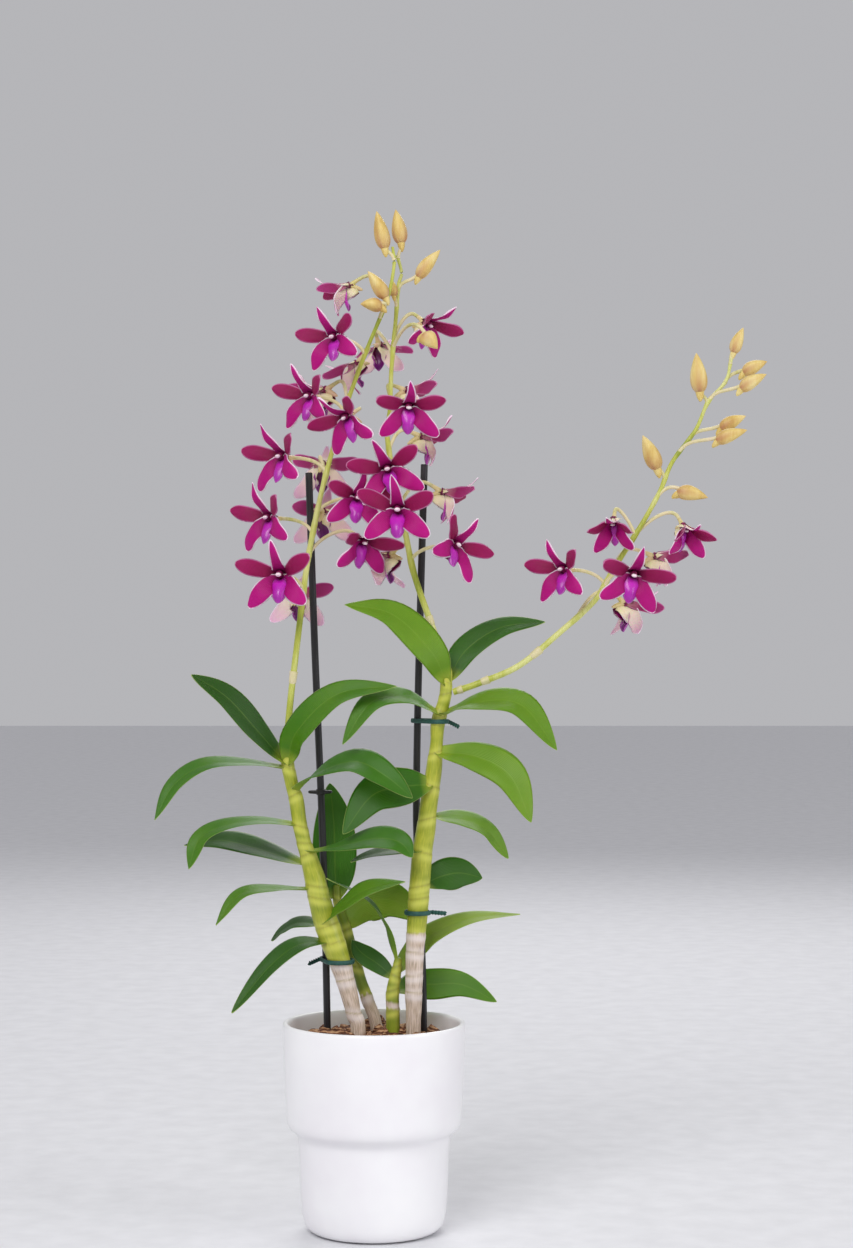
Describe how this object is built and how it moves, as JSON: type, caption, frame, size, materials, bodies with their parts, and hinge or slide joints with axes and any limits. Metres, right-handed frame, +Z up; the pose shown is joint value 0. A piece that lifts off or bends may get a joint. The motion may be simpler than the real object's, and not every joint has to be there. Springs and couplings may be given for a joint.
{
  "type": "potted dendrobium orchid",
  "caption": "Dendrobium orchid with leafy canes and upright sprays of purple flowers and buds, held by black stakes in a white stepped ceramic pot.",
  "frame": {"origin": "centre of the pot's flat underside", "axes": "+Z up along the pot's axis; the pictured front looks towards -Y, with +X to its right"},
  "size_m": [0.4232, 0.1262, 0.711],
  "materials": {
    "white_glaze": "gloss",
    "orchid_bark": "matte",
    "cane_and_leaf": "satin",
    "flower_stem": "satin",
    "tepal": "satin",
    "black_plastic": "satin",
    "tie_wire": "matte"
  },
  "bodies": {
    "root": {"pot": "white_glaze", "bark": "orchid_bark", "cane_left": "cane_and_leaf", "cane_right": "cane_and_leaf", "cane_back": "cane_and_leaf", "new_shoot": "cane_and_leaf", "spray_left": "flower_stem", "spray_centre": "flower_stem", "spray_right": "flower_stem", "stake_left": "black_plastic", "stake_right": "black_plastic", "clip_left": "black_plastic", "clip_right": "black_plastic", "tie_low": "tie_wire", "tie_middle": "tie_wire", "tie_top": "tie_wire", "bloom_left_1": "tepal", "bloom_left_2": "tepal", "bloom_left_3": "tepal", "bloom_left_4": "tepal", "bloom_left_5": "tepal", "bloom_left_6": "tepal", "bloom_left_7": "tepal", "bloom_left_8": "tepal", "bloom_left_9": "tepal", "bloom_left_10": "tepal", "bloom_left_11": "tepal", "bloom_left_12": "tepal", "bloom_left_13": "tepal", "bloom_left_14": "tepal", "bloom_centre_1": "tepal", "bloom_centre_2": "tepal", "bloom_centre_3": "tepal", "bloom_centre_4": "tepal", "bloom_centre_5": "tepal", "bloom_centre_6": "tepal", "bloom_centre_7": "tepal", "bloom_centre_8": "tepal", "bloom_centre_9": "tepal", "bloom_centre_10": "tepal", "bloom_right_1": "tepal", "bloom_right_2": "tepal", "bloom_right_3": "tepal", "bloom_right_4": "tepal", "bloom_right_5": "tepal", "bloom_right_6": "tepal"}
  },
  "joints": []
}
